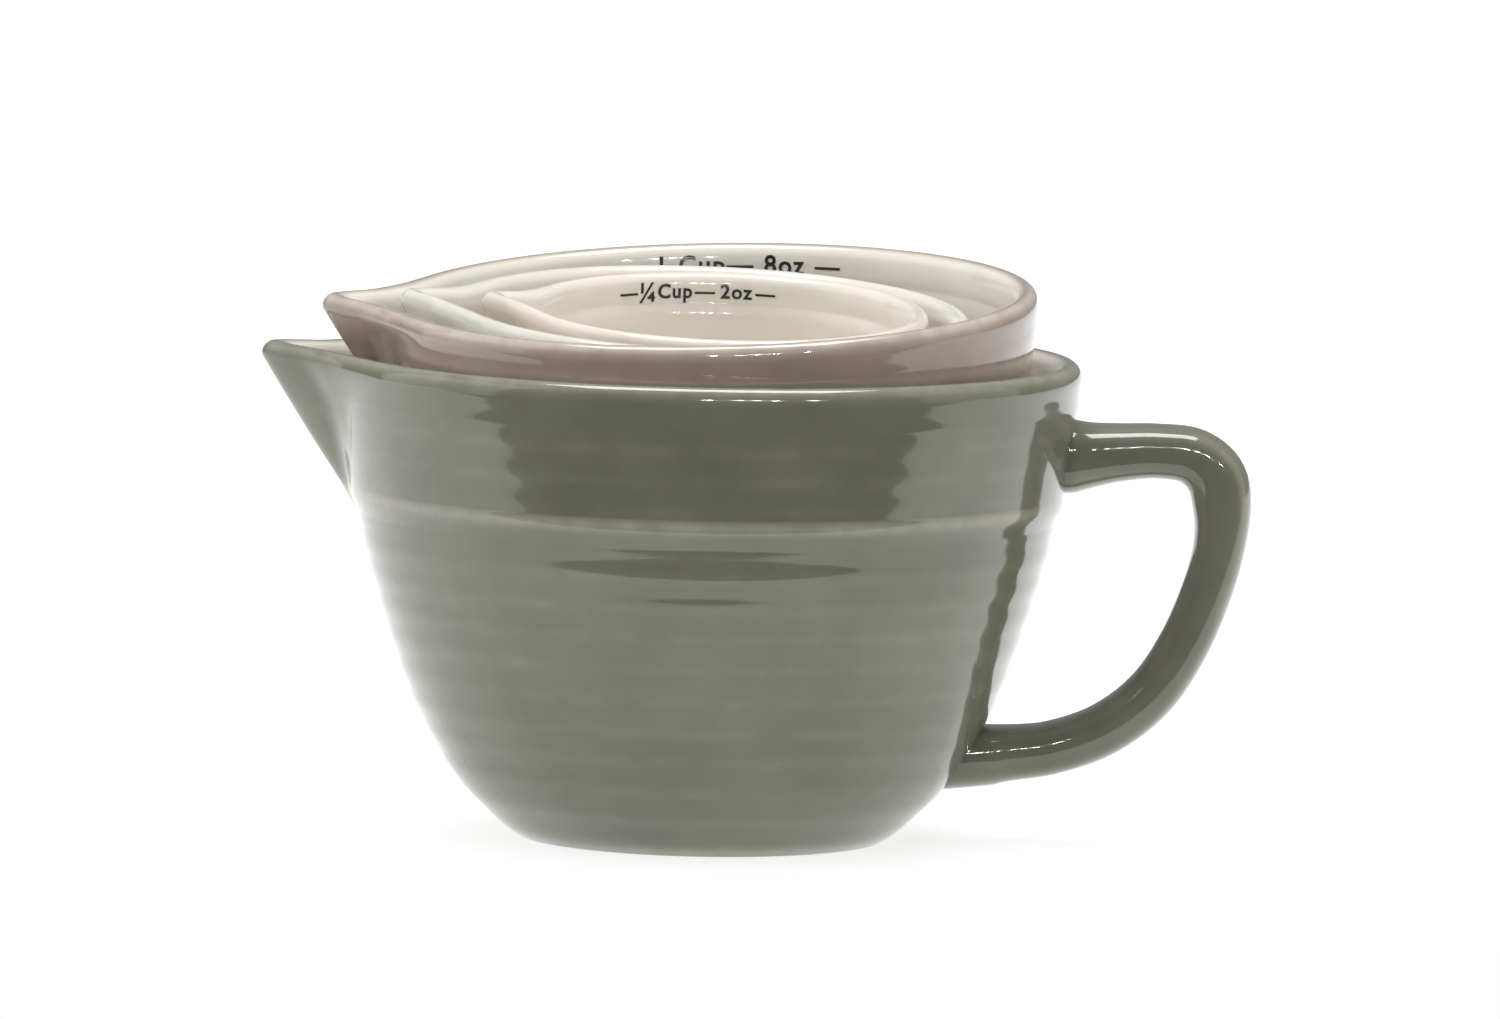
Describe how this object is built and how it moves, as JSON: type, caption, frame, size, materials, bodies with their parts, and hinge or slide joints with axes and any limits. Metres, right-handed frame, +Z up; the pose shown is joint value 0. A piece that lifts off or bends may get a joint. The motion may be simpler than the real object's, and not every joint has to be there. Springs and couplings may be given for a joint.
{
  "type": "measuring cup set",
  "caption": "Nested stoneware measuring cups with pouring spouts; the largest has a loop handle and holds the others.",
  "frame": {"origin": "middle of the large cup's foot, on the table", "axes": "+Z up along the large cup's axis, spouts towards -X, handle towards +X, smaller cups lean towards -Y"},
  "size_m": [0.1586, 0.1192, 0.0916],
  "materials": {
    "green_glaze": "glossy sage green glaze outside, cream inside",
    "taupe_glaze": "glossy taupe glaze outside, cream inside",
    "pale_sage_glaze": "glossy pale sage glaze outside, cream inside",
    "blush_glaze": "glossy blush cream glaze",
    "mark_ink": "black mark fired into the glaze"
  },
  "bodies": {
    "two_cup": {"two_cup_body": "green_glaze", "two_cup_handle": "green_glaze", "two_cup_mark": "mark_ink"},
    "one_cup": {"one_cup_body": "taupe_glaze", "one_cup_mark": "mark_ink"},
    "half_cup": {"half_cup_body": "pale_sage_glaze", "half_cup_mark": "mark_ink"},
    "quarter_cup": {"quarter_cup_body": "blush_glaze", "quarter_cup_mark": "mark_ink"}
  },
  "joints": [
    {"name": "one_cup_lift", "type": "slide", "parent": "two_cup", "child": "one_cup", "axis": [0, 0, 1], "range_m": [0, 0.09]},
    {"name": "half_cup_lift", "type": "slide", "parent": "one_cup", "child": "half_cup", "axis": [0, 0, 1], "range_m": [0, 0.07]},
    {"name": "quarter_cup_lift", "type": "slide", "parent": "half_cup", "child": "quarter_cup", "axis": [0, 0, 1], "range_m": [0, 0.06]}
  ]
}
